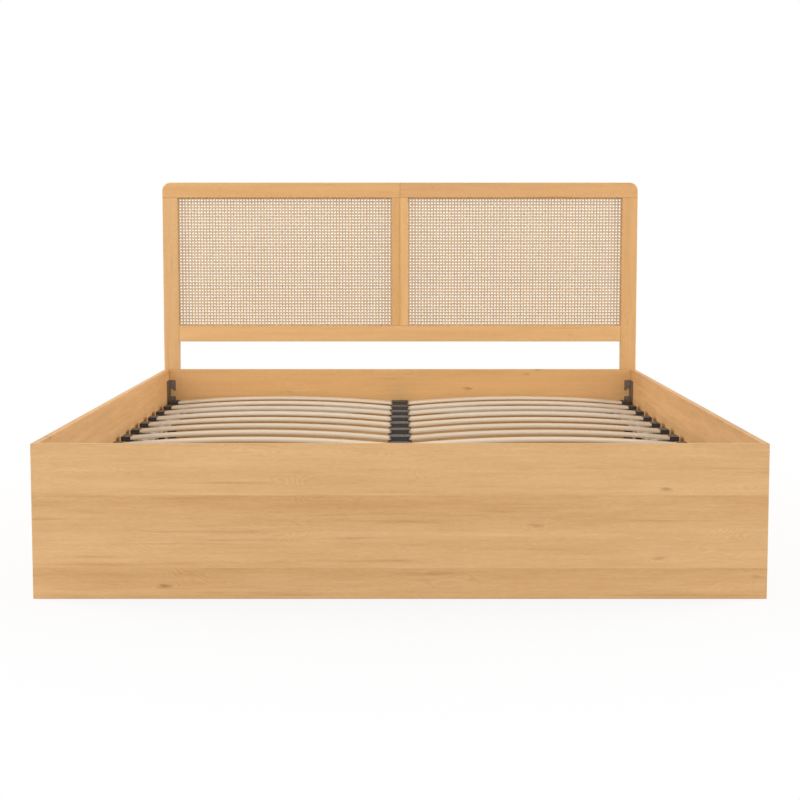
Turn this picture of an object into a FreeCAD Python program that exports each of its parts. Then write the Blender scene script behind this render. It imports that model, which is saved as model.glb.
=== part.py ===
import FreeCAD, Part
import math
import os
from FreeCAD import Vector

# King-size ottoman bed. Millimetres, +X right seen from the foot, +Y to the head, +Z up.

# Mattress and box
MATTRESS_WIDTH = 1500.0
MATTRESS_LENGTH = 2000.0
MATTRESS_SIDE_ROOM = 10.0
MATTRESS_END_ROOM = 30.0
MATTRESS_RECESS = 100.0
PANEL_HEIGHT = 330.0
PANEL_THICKNESS = 15.0
PANEL_EDGE_BEVEL = 0.8

# Headboard
HEADBOARD_HEIGHT = 940.0
HEADBOARD_THICKNESS = 30.0
HEADBOARD_CORNER_RADIUS = 27.0
HEADBOARD_EDGE_BEVEL = 1.2
HEADBOARD_GAP = 92.0
POST_WIDTH = 50.0
TOP_RAIL_HEIGHT = 49.0
BOTTOM_RAIL_HEIGHT = 52.0
STILE_WIDTH = 27.0
CANE_SET_BACK = 10.0
CANE_THICKNESS = 2.4
CANE_GAPS_WIDE = 12
CANE_GAPS_HIGH = 7
CANE_OPEN_SHARE = 0.55
CANE_BORDER = 12.0
REBATE_WIDTH = 12.0
REBATE_CLEARANCE = 0.4
BEAD_DEPTH = 11.0
DOWEL_THICKNESS = 6.0
DOWEL_WIDTH = 26.0
STILE_DOWEL_WIDTH = 9.0
SEAM_DOWEL_WIDTH = 16.0
DOWEL_LENGTH = 40.0
DOWEL_CLEARANCE = 0.1
DOWEL_END_ROOM = 1.0

# Floor of the storage box
FLOOR_BOARD_THICKNESS = 6.0
FLOOR_BOARD_EDGE_GAP = 2.0
FLOOR_BOARD_JOINT_GAP = 1.0
FLOOR_BATTEN_WIDTH = 18.0
FLOOR_BATTEN_HEIGHT = 17.0
FLOOR_BATTEN_LIFT = 3.0
FLOOR_BEARER_WIDTH = 45.0

# Steel corner brackets
BRACKET_THICKNESS = 3.0
BRACKET_LEG = 40.0
HOOK_BRACKET_LEG = 58.0
BRACKET_TOP_DROP = 35.0
BRACKET_HEIGHT = 192.0
HOOK_WIDTH = 21.6
HOOK_STRIP = 5.5
HOOK_SLOT = 8.4
HOOK_MOUTH = 18.8
HOOK_RISE = 7.4
HOOK_ARM = 27.0
HOOK_PITCH = 100.0
HOOK_CORNER_RADIUS = 3.5
HOOK_INNER_RADIUS = 1.0
HOOK_SLOT_ROUNDING = 0.48
HOOK_BOLT_RADIUS = 4.0
HOOK_BOLT_HEAD_RADIUS = 6.2
HOOK_BOLT_HEAD = 4.5
HOOK_BOLT_LENGTH = 27.0
FOOT_BRACKET_HEIGHT = 120.0
FOOT_BRACKET_LIFT = 50.0

# Screw holes in the steel
SCREW_HOLE_RADIUS = 2.2
BRACKET_HOLE_END_INSET = 19.0
BRACKET_HOLE_SET_BACK = 24.0
PLATE_HOLE_INSET = 12.0

# Lifting platform
TUBE_WIDTH = 38.0
TUBE_HEIGHT = 25.0
TUBE_WALL = 1.5
TUBE_CORNER_BEVEL = 1.6
TUBE_END_GAP_FOOT = 9.0
TUBE_END_GAP_HEAD = 22.0
PLUG_FLANGE = 3.0
PLUG_DEPTH = 15.0
PLUG_CLEARANCE = 0.2
MIDDLE_TUBE_ROW = 5
SLAT_ROWS = 12
SLAT_WIDTH = 53.0
SLAT_THICKNESS = 8.0
SLAT_BOW = 17.0
FRONT_SLAT_GAP = 148.0
REAR_SLAT_GAP = 14.0
HOLDER_HEIGHT = 12.5
HOLDER_SEAT = 2.0
HOLDER_WIDTH = 57.0
HOLDER_CLEARANCE = 0.15
PEG_WIDTH = 7.0
PEG_LENGTH = 5.0
PEG_CLEARANCE = 0.1
CAP_LENGTH = 25.0
CAP_SIDE_GAP = 12.5
CAP_END_WALL = 2.5
CAP_FOOT_WIDTH = 36.0
WEB_HALF = 23.0
LIP_REACH = 4.0
LIP_THICKNESS = 1.6
TONGUE_HALF = 32.0
TONGUE_THICKNESS = 3.0
SLAT_END_ROOM = 0.5

# Rests under the closed platform
REST_GAP = 0.3
REST_PAD = 2.0
REST_HEIGHT = 45.0
REST_BLOCK_LENGTH = 60.0
REST_BLOCK_REACH = 58.0
REST_BLOCK_FIRST = 568.0
REST_BLOCK_SPACING = 609.0
FOOT_REST_DEPTH = 36.0
FOOT_REST_END_GAP = 160.0
FOOT_PAD_WIDTH = 40.0

# Lift hinge and gas strut
LIFT_ANGLE = 40.0
LIFT_GAP = 26.0
HINGE_SET_BACK = 200.0
LOWER_STUD_HEIGHT = 48.0
STRUT_OPENING = 75.0
PLATE_THICKNESS = 3.0
PLATE_CORNER_RADIUS = 10.0
PLATE_REAR = 56.0
PLATE_FRONT = 20.0
PLATE_BELOW = 16.0
PLATE_ABOVE = 8.0
PIN_CLEARANCE = 0.05
SIDE_PLAY = 0.5
HINGE_PIN_RADIUS = 5.0
HINGE_COLLAR_RADIUS = 8.0
HINGE_NUT = 7.0
HINGE_NUT_RADIUS = 9.0
STUD_RADIUS = 4.0
STUD_COLLAR_RADIUS = 6.5
STUD_NUT = 5.0
STUD_NUT_RADIUS = 7.0
STUD_HEAD = 4.0
PIN_END = 1.0
EYE_RADIUS = 9.0
EYE_WIDTH = 10.0
NECK_RADIUS = 5.0
NECK_LENGTH = 4.0
CYLINDER_RADIUS = 9.0
CYLINDER_WALL = 1.5
CYLINDER_FLOOR = 6.0
GLAND_LENGTH = 12.0
ROD_RADIUS = 4.0
ROD_CLEARANCE = 0.08
ROD_SHOW = 6.0
PISTON_LENGTH = 8.0
PISTON_CLEARANCE = 0.3
PISTON_STOP_GAP = 1.0

# Two places closer than this are the same
SAME_PLACE = 0.01

# Levels and places that follow from the sizes above
inner_half = MATTRESS_WIDTH / 2 + MATTRESS_SIDE_ROOM
outer_half = inner_half + PANEL_THICKNESS
clear_length = MATTRESS_LENGTH + MATTRESS_END_ROOM
total_length = PANEL_THICKNESS + clear_length + HEADBOARD_THICKNESS
foot_front = -total_length / 2
foot_inner = foot_front + PANEL_THICKNESS
head_front = foot_inner + clear_length
head_back = head_front + HEADBOARD_THICKNESS
head_middle = head_front + HEADBOARD_THICKNESS / 2

post_inner = outer_half - POST_WIDTH
rail_bottom = PANEL_HEIGHT + HEADBOARD_GAP
opening_bottom = rail_bottom + BOTTOM_RAIL_HEIGHT
opening_top = HEADBOARD_HEIGHT - TOP_RAIL_HEIGHT
cane_front = head_front + CANE_SET_BACK
bead_front = cane_front + CANE_THICKNESS

floor_bottom = FLOOR_BATTEN_LIFT + FLOOR_BATTEN_HEIGHT
floor_top = floor_bottom + FLOOR_BOARD_THICKNESS

holder_top = PANEL_HEIGHT - MATTRESS_RECESS
holder_bottom = holder_top - HOLDER_HEIGHT
tube_top = holder_bottom - HOLDER_SEAT
tube_bottom = tube_top - TUBE_HEIGHT
side_tube_outer = inner_half - LIFT_GAP
side_tube_inner = side_tube_outer - TUBE_WIDTH
tube_foot = foot_inner + TUBE_END_GAP_FOOT
tube_head = head_front - TUBE_END_GAP_HEAD

cap_outer = inner_half - CAP_SIDE_GAP
cap_inner = cap_outer - CAP_LENGTH
slat_outer = cap_outer - CAP_END_WALL - HOLDER_CLEARANCE
slat_inner = WEB_HALF + SLAT_END_ROOM
slat_middle = (slat_outer + slat_inner) / 2
slat_chord = slat_outer - slat_inner
slat_bend_radius = slat_chord ** 2 / (8 * SLAT_BOW) + SLAT_BOW / 2
slat_tilt = math.asin(slat_chord / 2 / slat_bend_radius)
slat_end_height = (holder_top + holder_bottom) / 2 - math.tan(slat_tilt) * CAP_LENGTH / 2
first_slat = foot_inner + FRONT_SLAT_GAP + SLAT_WIDTH / 2
last_slat = head_front - REAR_SLAT_GAP - SLAT_WIDTH / 2
slat_pitch = (last_slat - first_slat) / (SLAT_ROWS - 1)
slat_rows = [first_slat + slat_pitch * row for row in range(SLAT_ROWS)]
peg_x = (max(cap_inner, side_tube_inner) + side_tube_outer) / 2

rest_top = tube_bottom - REST_GAP - REST_PAD
rest_places = [foot_inner + REST_BLOCK_FIRST, foot_inner + REST_BLOCK_FIRST + REST_BLOCK_SPACING]
foot_rest_half = inner_half - FOOT_REST_END_GAP

hinge_y = head_front - HINGE_SET_BACK
hinge_z = (tube_top + tube_bottom) / 2
strut_arm = (hinge_z - LOWER_STUD_HEIGHT) / math.sin(math.radians(STRUT_OPENING))
lower_y = hinge_y - strut_arm * math.cos(math.radians(STRUT_OPENING))
lower_z = LOWER_STUD_HEIGHT
upper_y = hinge_y - strut_arm
upper_z = hinge_z
strut_closed = 2 * strut_arm * math.sin(math.radians(STRUT_OPENING / 2))
strut_open = 2 * strut_arm * math.sin(math.radians((STRUT_OPENING + LIFT_ANGLE) / 2))
plate_face = inner_half - PLATE_THICKNESS
strut_x = (plate_face + side_tube_outer) / 2
eye_outer = strut_x + EYE_WIDTH / 2
eye_inner = strut_x - EYE_WIDTH / 2
cylinder_start = EYE_RADIUS + NECK_LENGTH
cylinder_end = strut_closed - EYE_RADIUS - NECK_LENGTH - ROD_SHOW
bore_start = cylinder_start + CYLINDER_FLOOR
piston_top = cylinder_end - GLAND_LENGTH - PISTON_STOP_GAP - (strut_open - strut_closed)

X_AXIS = Vector(1, 0, 0)
Y_AXIS = Vector(0, 1, 0)
Z_AXIS = Vector(0, 0, 1)


def box(x0, x1, y0, y1, z0, z1):
    """A plain box between two corners."""
    return Part.makeBox(x1 - x0, y1 - y0, z1 - z0, Vector(x0, y0, z0))


def rod(radius, start, axis, length):
    """A round bar from a start point along an axis."""
    return Part.makeCylinder(radius, length, start, axis)


def bevelled_board(x0, x1, y0, y1, z0, z1):
    """A board with every edge slightly bevelled."""
    board = box(x0, x1, y0, y1, z0, z1)
    return board.makeChamfer(PANEL_EDGE_BEVEL, board.Edges)


def ease_front_and_back(member):
    """Bevels the edges that lie in the front and back faces of a headboard member."""
    edges = [edge for edge in member.Edges if edge.BoundBox.YLength < SAME_PLACE]
    return member.makeChamfer(HEADBOARD_EDGE_BEVEL, edges)


def rounded_wire(corners):
    """A closed outline through (point, radius) corners with a tangent arc at each rounded one."""
    count = len(corners)
    marks = []
    for i, (point, radius) in enumerate(corners):
        before = (corners[i - 1][0] - point).normalize()
        after = (corners[(i + 1) % count][0] - point).normalize()
        half = before.getAngle(after) / 2
        reach = radius / math.tan(half)
        middle = point + (before + after).normalize() * (radius / math.sin(half) - radius)
        marks.append((point + before * reach, middle, point + after * reach, radius))
    edges = []
    for i, (start, middle, end, radius) in enumerate(marks):
        if radius > 0:
            edges.append(Part.Arc(start, middle, end).toShape())
        edges.append(Part.LineSegment(end, marks[(i + 1) % count][0]).toShape())
    return Part.Wire(edges)


def mirrored(shape):
    """The same piece for the left side."""
    return shape.mirror(Vector(0, 0, 0), X_AXIS)


def both_sides(shape):
    """A right piece and its mirror image."""
    return [shape, mirrored(shape)]


def group(shapes):
    """Separate solids kept in one node."""
    return Part.makeCompound(shapes)


def hexagon(radius, start, length):
    """A six-sided bar on the X axis from its start face."""
    angles = [math.radians(60 * side) for side in range(6)]
    points = [start + Vector(0, radius * math.cos(angle), radius * math.sin(angle)) for angle in angles]
    return Part.Face(Part.makePolygon(points + [points[0]])).extrude(X_AXIS * length)


def hex_nut(radius, bore, start, length):
    """A nut on the X axis from its start face."""
    return hexagon(radius, start, length).cut(rod(bore, start, X_AXIS, length))


# Flat dowels that join the headboard, as (middle, axis, width across the axis)

def dowel_places():
    """Every flat dowel of the headboard on both sides."""
    post_x = outer_half - (POST_WIDTH - REBATE_WIDTH) / 2
    stile_x = (STILE_WIDTH - REBATE_WIDTH) / 2
    rail_z = rail_bottom + (BOTTOM_RAIL_HEIGHT - REBATE_WIDTH) / 2
    right = [
        (Vector(post_x, head_middle, opening_top), Z_AXIS, DOWEL_WIDTH),
        (Vector(stile_x, head_middle, opening_top), Z_AXIS, STILE_DOWEL_WIDTH),
        (Vector(stile_x, head_middle, opening_bottom), Z_AXIS, STILE_DOWEL_WIDTH),
        (Vector(post_inner, head_middle, rail_z), X_AXIS, DOWEL_WIDTH),
    ]
    places = list(right)
    for point, axis, width in right:
        places.append((Vector(-point.x, point.y, point.z), axis, width))
    seam_z = (opening_top + DOWEL_LENGTH / 2 + DOWEL_END_ROOM + HEADBOARD_HEIGHT) / 2
    places.append((Vector(0, head_middle, seam_z), X_AXIS, SEAM_DOWEL_WIDTH))
    return places


def flat_dowel(place, side_room, end_room):
    """One flat dowel centred on its joint, or with room round it the mortise that takes it."""
    point, axis, width = place
    across = Z_AXIS if axis.x else X_AXIS
    half = axis * (DOWEL_LENGTH / 2 + end_room) + across * (width / 2 + side_room)
    half += Y_AXIS * (DOWEL_THICKNESS / 2 + side_room)
    low = point - half
    high = point + half
    return box(low.x, high.x, low.y, high.y, low.z, high.z)


def dowel(place):
    """One flat dowel."""
    return flat_dowel(place, 0, 0)


def mortise(place):
    """The slot for one flat dowel in the two pieces that it joins."""
    return flat_dowel(place, DOWEL_CLEARANCE, DOWEL_END_ROOM)


def rebate(side):
    """The room behind one cane opening for the panel and its beads."""
    x = sorted((side * (STILE_WIDTH - REBATE_WIDTH), side * (post_inner + REBATE_WIDTH)))
    low = opening_bottom - REBATE_WIDTH
    high = opening_top + REBATE_WIDTH
    return box(x[0], x[1], cane_front, head_back, low, high)


def joined(member, holes):
    """A headboard member with its rebates, mortises and bolt hole cut."""
    return member.cut([rebate(1), rebate(-1)] + holes)


def post(holes):
    """The right headboard post, from the floor up to the top rail, notched for the head panel."""
    upright = box(post_inner, outer_half, head_front, head_back, 0, opening_top)
    notch = box(post_inner, inner_half, head_front, head_front + PANEL_THICKNESS, 0, PANEL_HEIGHT)
    return joined(ease_front_and_back(upright), holes + [notch])


def top_rail(holes):
    """The right half of the top rail with its rounded outer corner."""
    corners = [
        (Vector(0, head_front, opening_top), 0),
        (Vector(outer_half, head_front, opening_top), 0),
        (Vector(outer_half, head_front, HEADBOARD_HEIGHT), HEADBOARD_CORNER_RADIUS),
        (Vector(0, head_front, HEADBOARD_HEIGHT), 0),
    ]
    rail = Part.Face(rounded_wire(corners)).extrude(Y_AXIS * HEADBOARD_THICKNESS)
    return joined(ease_front_and_back(rail), holes)


def bottom_rail(holes):
    """The one-piece bottom rail between the posts."""
    rail = box(-post_inner, post_inner, head_front, head_back, rail_bottom, opening_bottom)
    return joined(ease_front_and_back(rail), holes)


def centre_stile(holes):
    """The right half of the centre stile."""
    stile = box(0, STILE_WIDTH, head_front, head_back, opening_bottom, opening_top)
    return joined(ease_front_and_back(stile), holes)


def cane_bounds():
    """Left, right, bottom and top of the right cane panel in its rebate."""
    left = STILE_WIDTH - REBATE_WIDTH + REBATE_CLEARANCE
    right = post_inner + REBATE_WIDTH - REBATE_CLEARANCE
    bottom = opening_bottom - REBATE_WIDTH + REBATE_CLEARANCE
    top = opening_top + REBATE_WIDTH - REBATE_CLEARANCE
    return left, right, bottom, top


def rectangle(left, right, bottom, top, y):
    """A closed upright rectangle facing the foot."""
    corners = ((left, bottom), (right, bottom), (right, top), (left, top), (left, bottom))
    return Part.makePolygon([Vector(x, y, z) for x, z in corners])


def cane_panel():
    """The right cane panel as one holed sheet, with fewer and wider gaps than the real cane."""
    left, right, bottom, top = cane_bounds()
    width = (right - left - 2 * CANE_BORDER) / CANE_GAPS_WIDE
    height = (top - bottom - 2 * CANE_BORDER) / CANE_GAPS_HIGH
    wires = [rectangle(left, right, bottom, top, cane_front)]
    for column in range(CANE_GAPS_WIDE):
        for row in range(CANE_GAPS_HIGH):
            x = left + CANE_BORDER + width * (column + 0.5)
            z = bottom + CANE_BORDER + height * (row + 0.5)
            half_x = width * CANE_OPEN_SHARE / 2
            half_z = height * CANE_OPEN_SHARE / 2
            wires.append(rectangle(x - half_x, x + half_x, z - half_z, z + half_z, cane_front))
    sheet = Part.Face(wires, "Part::FaceMakerBullseye")
    return sheet.extrude(Y_AXIS * CANE_THICKNESS)


def cane_beads():
    """Four beads that hold the right cane panel in its rebate."""
    left, right, bottom, top = cane_bounds()
    width = REBATE_WIDTH - REBATE_CLEARANCE
    back = bead_front + BEAD_DEPTH
    beads = [box(left, right, bead_front, back, bottom, bottom + width)]
    beads.append(box(left, right, bead_front, back, top - width, top))
    beads.append(box(left, left + width, bead_front, back, bottom + width, top - width))
    beads.append(box(right - width, right, bead_front, back, bottom + width, top - width))
    return beads


# Screw holes through the steel, each on its own face

def hole_heights(bottom, top):
    """Heights of the two screw holes in a bracket flange."""
    return bottom + BRACKET_HOLE_END_INSET, top - BRACKET_HOLE_END_INSET


def side_flange_holes(bottom, top, y):
    """Two holes through a bracket's side flange."""
    x = inner_half - BRACKET_THICKNESS
    heights = hole_heights(bottom, top)
    return [rod(SCREW_HOLE_RADIUS, Vector(x, y, z), X_AXIS, BRACKET_THICKNESS) for z in heights]


def plate_holes():
    """Three holes through the lift plate, clear of the strut's swing."""
    rear = hinge_y + PLATE_REAR - PLATE_HOLE_INSET
    places = ((rear, lower_z), (rear, hinge_z - PLATE_HOLE_INSET), (hinge_y, (hinge_z + lower_z) / 2))
    return [rod(SCREW_HOLE_RADIUS, Vector(plate_face, y, z), X_AXIS, PLATE_THICKNESS) for y, z in places]


def side_panel():
    """The right side panel, from the foot panel back to the post."""
    return bevelled_board(inner_half, outer_half, foot_inner, head_front, 0, PANEL_HEIGHT)


def foot_panel():
    """The full-width foot panel that covers the side panels' ends."""
    return bevelled_board(-outer_half, outer_half, foot_front, foot_inner, 0, PANEL_HEIGHT)


def head_panel(holes):
    """The head panel, let into both posts and held by the hook bolts."""
    back = head_front + PANEL_THICKNESS
    return bevelled_board(-inner_half, inner_half, head_front, back, 0, PANEL_HEIGHT).cut(holes)


def floor_board(index):
    """One of the three floor boards, counted from the foot."""
    start = foot_inner + FLOOR_BOARD_EDGE_GAP
    span = clear_length - 2 * FLOOR_BOARD_EDGE_GAP
    length = (span - 2 * FLOOR_BOARD_JOINT_GAP) / 3
    y0 = start + index * (length + FLOOR_BOARD_JOINT_GAP)
    half = inner_half - FLOOR_BOARD_EDGE_GAP
    return box(-half, half, y0, y0 + length, floor_bottom, floor_top)


def floor_bearers():
    """Two side battens on the panels and two cross bearers under the board joints."""
    batten_inner = inner_half - FLOOR_BATTEN_WIDTH
    batten = box(batten_inner, inner_half, foot_inner, head_front, FLOOR_BATTEN_LIFT, floor_bottom)
    bearers = both_sides(batten)
    for share in (1 / 3, 2 / 3):
        y = foot_inner + clear_length * share
        half = FLOOR_BEARER_WIDTH / 2
        bearers.append(box(-batten_inner, batten_inner, y - half, y + half, 0, floor_bottom))
    return bearers


# Corner brackets

def hook_outline(bottom, top):
    """The hook flange outline with two upward hooks, as rounded corners facing the foot."""
    root = inner_half
    tip = inner_half - HOOK_WIDTH
    strip = inner_half - HOOK_STRIP
    lip = strip - HOOK_SLOT
    y = head_front - BRACKET_THICKNESS
    slot_radius = HOOK_SLOT * HOOK_SLOT_ROUNDING
    corners = [(Vector(root, y, bottom), 0), (Vector(tip, y, bottom), HOOK_CORNER_RADIUS)]
    for jaw in (hook_jaw() - HOOK_PITCH, hook_jaw()):
        corners.append((Vector(tip, y, jaw), HOOK_CORNER_RADIUS))
        corners.append((Vector(strip, y, jaw), HOOK_INNER_RADIUS))
        corners.append((Vector(strip, y, jaw + HOOK_MOUTH + HOOK_RISE), slot_radius))
        corners.append((Vector(lip, y, jaw + HOOK_MOUTH + HOOK_RISE), slot_radius))
        corners.append((Vector(lip, y, jaw + HOOK_MOUTH), HOOK_CORNER_RADIUS))
        corners.append((Vector(tip, y, jaw + HOOK_MOUTH), HOOK_CORNER_RADIUS))
    corners.append((Vector(tip, y, top), HOOK_CORNER_RADIUS))
    corners.append((Vector(root, y, top), 0))
    return rounded_wire(corners)


def hook_jaw():
    """Height of the upper hook's lower jaw."""
    return PANEL_HEIGHT - BRACKET_TOP_DROP - HOOK_ARM - HOOK_RISE - HOOK_MOUTH


def hook_bracket():
    """The right head corner angle, screwed to the side panel and hooked on the post."""
    top = PANEL_HEIGHT - BRACKET_TOP_DROP
    bottom = top - BRACKET_HEIGHT
    flange = Part.Face(hook_outline(bottom, top)).extrude(Y_AXIS * BRACKET_THICKNESS)
    x0 = inner_half - BRACKET_THICKNESS
    side = box(x0, inner_half, head_front - HOOK_BRACKET_LEG, head_front, bottom, top)
    holes = side_flange_holes(bottom, top, head_front - BRACKET_HOLE_SET_BACK)
    return flange.fuse(side).removeSplitter().cut(holes)


def hook_bolt_place():
    """Centre of the right hook bolt on the post face, in the lower hook."""
    x = inner_half - HOOK_STRIP - HOOK_SLOT / 2
    z = hook_jaw() - HOOK_PITCH + HOOK_MOUTH + HOOK_RISE - HOOK_SLOT / 2
    return Vector(x, head_front, z)


def hook_bolt():
    """The right bolt that the bracket hangs on."""
    face = hook_bolt_place() - Y_AXIS * BRACKET_THICKNESS
    head = rod(HOOK_BOLT_HEAD_RADIUS, face - Y_AXIS * HOOK_BOLT_HEAD, Y_AXIS, HOOK_BOLT_HEAD)
    shank = rod(HOOK_BOLT_RADIUS, face, Y_AXIS, BRACKET_THICKNESS + HOOK_BOLT_LENGTH)
    return head.fuse(shank).removeSplitter()


def hook_bolt_hole():
    """The drilled hole through the head panel into the right post for its hook bolt."""
    depth = HOOK_BOLT_LENGTH + DOWEL_END_ROOM
    return rod(HOOK_BOLT_RADIUS + DOWEL_CLEARANCE, hook_bolt_place(), Y_AXIS, depth)


def foot_bracket():
    """The right foot corner angle inside the box."""
    bottom = FOOT_BRACKET_LIFT
    top = bottom + FOOT_BRACKET_HEIGHT
    x0 = inner_half - BRACKET_THICKNESS
    side = box(x0, inner_half, foot_inner, foot_inner + BRACKET_LEG, bottom, top)
    end_y = foot_inner + BRACKET_THICKNESS
    end = box(inner_half - BRACKET_LEG, inner_half, foot_inner, end_y, bottom, top)
    holes = side_flange_holes(bottom, top, foot_inner + BRACKET_HOLE_SET_BACK)
    for z in hole_heights(bottom, top):
        start = Vector(inner_half - BRACKET_HOLE_SET_BACK, foot_inner, z)
        holes.append(rod(SCREW_HOLE_RADIUS, start, Y_AXIS, BRACKET_THICKNESS))
    return side.fuse(end).removeSplitter().cut(holes)


# Platform frame

def tube(x0, x1, y0, y1, along):
    """A rectangular steel tube with eased long edges, hollow along one axis."""
    outer = box(x0, x1, y0, y1, tube_bottom, tube_top)
    long_edges = [edge for edge in outer.Edges if edge.Curve.Direction.cross(along).Length < SAME_PLACE]
    outer = outer.makeChamfer(TUBE_CORNER_BEVEL, long_edges)
    wall_x = TUBE_WALL * along.y
    wall_y = TUBE_WALL * along.x
    low = tube_bottom + TUBE_WALL
    high = tube_top - TUBE_WALL
    return outer.cut(box(x0 + wall_x, x1 - wall_x, y0 + wall_y, y1 - wall_y, low, high))


def peg_hole(x, y):
    """The hole in a tube's top for one holder peg."""
    half = PEG_WIDTH / 2 + PEG_CLEARANCE
    return box(x - half, x + half, y - half, y + half, tube_top - TUBE_WALL * 2, tube_top)


def peg(x):
    """A holder's square peg at y = 0, down into its tube."""
    half = PEG_WIDTH / 2
    return box(x - half, x + half, -half, half, tube_top - PEG_LENGTH, tube_top)


def side_tube():
    """The right side tube with holes for its pegs, hinge pin and strut bolt."""
    bar = tube(side_tube_inner, side_tube_outer, tube_foot, tube_head, Y_AXIS)
    holes = [peg_hole(peg_x, y) for y in slat_rows]
    start = Vector(side_tube_inner, hinge_y, hinge_z)
    holes.append(rod(HINGE_PIN_RADIUS + PIN_CLEARANCE, start, X_AXIS, TUBE_WIDTH))
    start = Vector(side_tube_outer - TUBE_WALL * 2, upper_y, upper_z)
    holes.append(rod(STUD_RADIUS + PIN_CLEARANCE, start, X_AXIS, TUBE_WALL * 2))
    return bar.cut(holes)


def centre_tube():
    """The tube down the middle, between the two cross tubes."""
    half = TUBE_WIDTH / 2
    bar = tube(-half, half, tube_foot + TUBE_WIDTH, tube_head - TUBE_WIDTH, Y_AXIS)
    return bar.cut([peg_hole(0, y) for y in slat_rows[:-1]])


def foot_cross_tube():
    """The cross tube at the foot that rests on the foot rest."""
    return tube(-side_tube_inner, side_tube_inner, tube_foot, tube_foot + TUBE_WIDTH, X_AXIS)


def head_cross_tube():
    """The cross tube at the head, with the rear centre holder's peg hole."""
    bar = tube(-side_tube_inner, side_tube_inner, tube_head - TUBE_WIDTH, tube_head, X_AXIS)
    return bar.cut(peg_hole(0, slat_rows[-1]))


def middle_tubes():
    """Two short cross tubes between the centre tube and the side tubes."""
    y = first_slat + slat_pitch * (MIDDLE_TUBE_ROW - 0.5)
    half = TUBE_WIDTH / 2
    return both_sides(tube(half, side_tube_inner, y - half, y + half, X_AXIS))


def tube_plugs():
    """Plastic plugs in the four open tube ends."""
    clear = TUBE_WALL + PLUG_CLEARANCE
    plugs = []
    for face, out in ((tube_foot, -1), (tube_head, 1)):
        y = sorted((face, face + out * PLUG_FLANGE))
        flange = box(side_tube_inner, side_tube_outer, y[0], y[1], tube_bottom, tube_top)
        y = sorted((face, face - out * PLUG_DEPTH))
        z0 = tube_bottom + clear
        body = box(side_tube_inner + clear, side_tube_outer - clear, y[0], y[1], z0, tube_top - clear)
        plugs += both_sides(flange.fuse(body).removeSplitter())
    return plugs


# Sprung slats and their holders

def slat():
    """A right slat at y = 0: a flat section bent round a far axis, with square ends."""
    crown = slat_end_height + SLAT_BOW
    wide = SLAT_WIDTH / 2
    thick = SLAT_THICKNESS / 2
    corners = ((-wide, -thick), (wide, -thick), (wide, thick), (-wide, thick), (-wide, -thick))
    section = Part.Face(Part.makePolygon([Vector(slat_middle, y, crown + z) for y, z in corners]))
    axis_point = Vector(slat_middle, 0, crown - slat_bend_radius)
    section.rotate(axis_point, Y_AXIS, -math.degrees(slat_tilt))
    return section.revolve(axis_point, Y_AXIS, 2 * math.degrees(slat_tilt))


def slat_row(right_slat, y):
    """The two slats of one row."""
    right = right_slat.translated(Vector(0, y, 0))
    return both_sides(right)


def slat_cap():
    """A right end cap at y = 0: a closed pocket on a foot and a peg."""
    half = HOLDER_WIDTH / 2
    body = box(cap_inner, cap_outer, -half, half, holder_bottom, holder_top)
    room = HOLDER_CLEARANCE
    reach = 2 * CAP_LENGTH
    half_t = SLAT_THICKNESS / 2 + room
    half_w = SLAT_WIDTH / 2 + room
    z = slat_end_height
    pocket = box(slat_outer - reach, slat_outer + room, -half_w, half_w, z - half_t, z + half_t)
    pocket.rotate(Vector(slat_outer, 0, z), Y_AXIS, math.degrees(slat_tilt))
    foot = box(cap_inner, side_tube_outer, -CAP_FOOT_WIDTH / 2, CAP_FOOT_WIDTH / 2, tube_top, holder_bottom)
    return body.cut(pocket).fuse([foot, peg(peg_x)]).removeSplitter()


def centre_holder():
    """A double holder at y = 0: a web with a top lip and a seat under both slat ends."""
    half = HOLDER_WIDTH / 2
    web = box(-WEB_HALF, WEB_HALF, -half, half, tube_top, holder_top)
    lip_half = WEB_HALF + LIP_REACH
    lip = box(-lip_half, lip_half, -half, half, holder_top - LIP_THICKNESS, holder_top)
    tongue = box(-TONGUE_HALF, TONGUE_HALF, -half, half, tube_top, tube_top + TONGUE_THICKNESS)
    return web.fuse([lip, tongue, peg(0)]).removeSplitter()


def copies(piece, places):
    """One copy of a piece for each slat row."""
    return [piece.translated(Vector(0, y, 0)) for y in places]


# Rests under the platform

def foot_rest():
    """The batten on the foot panel that carries the platform's foot end."""
    y1 = foot_inner + FOOT_REST_DEPTH
    return box(-foot_rest_half, foot_rest_half, foot_inner, y1, rest_top - REST_HEIGHT, rest_top)


def side_rests():
    """Blocks on both side panels under the side tubes."""
    blocks = []
    for y in rest_places:
        half = REST_BLOCK_LENGTH / 2
        x0 = inner_half - REST_BLOCK_REACH
        blocks += both_sides(box(x0, inner_half, y - half, y + half, rest_top - REST_HEIGHT, rest_top))
    return blocks


def rest_pads():
    """Rubber pads on the rests."""
    top = rest_top + REST_PAD
    pads = []
    for y in rest_places:
        half = REST_BLOCK_LENGTH / 2
        x0 = inner_half - REST_BLOCK_REACH
        pads += both_sides(box(x0, side_tube_outer, y - half, y + half, rest_top, top))
    x0 = foot_rest_half - FOOT_PAD_WIDTH
    y1 = foot_inner + FOOT_REST_DEPTH
    pads += both_sides(box(x0, foot_rest_half, tube_foot, y1, rest_top, top))
    return pads


# Lift hinge and gas struts

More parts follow.
